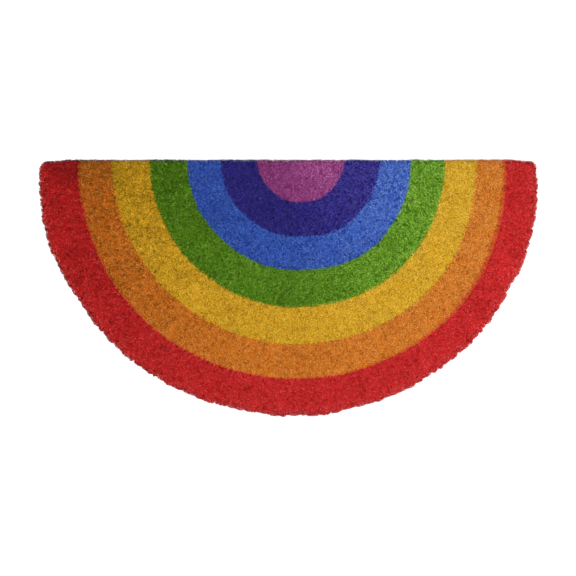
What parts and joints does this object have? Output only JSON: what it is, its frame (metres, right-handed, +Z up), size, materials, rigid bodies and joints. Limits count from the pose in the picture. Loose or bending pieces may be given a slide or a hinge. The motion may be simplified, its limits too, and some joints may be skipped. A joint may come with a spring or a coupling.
{
  "type": "half round coir doormat",
  "caption": "Half round doormat of dyed, clipped coir pile in concentric rainbow bands, with a straight back edge and an uneven hand-cut curved side.",
  "frame": {"origin": "on the floor, in the middle of the mat's width and depth", "axes": "+X runs along the straight edge, +Y points across the mat to the straight edge, and +Z is up out of the pile"},
  "size_m": [0.7506, 0.3868, 0.016],
  "materials": {
    "coir_red": "clipped coir pile dyed red, matte, granular, with darker gaps between the tufts",
    "coir_orange": "clipped coir pile dyed orange, matte, granular",
    "coir_yellow": "clipped coir pile dyed golden yellow, matte, granular",
    "coir_green": "clipped coir pile dyed green, matte, granular",
    "coir_blue": "clipped coir pile dyed blue, matte, granular",
    "coir_indigo": "clipped coir pile dyed indigo, matte, granular",
    "coir_magenta": "clipped coir pile dyed magenta, matte, granular"
  },
  "bodies": {
    "root": {"coir_mat": "coir_red"}
  },
  "joints": []
}
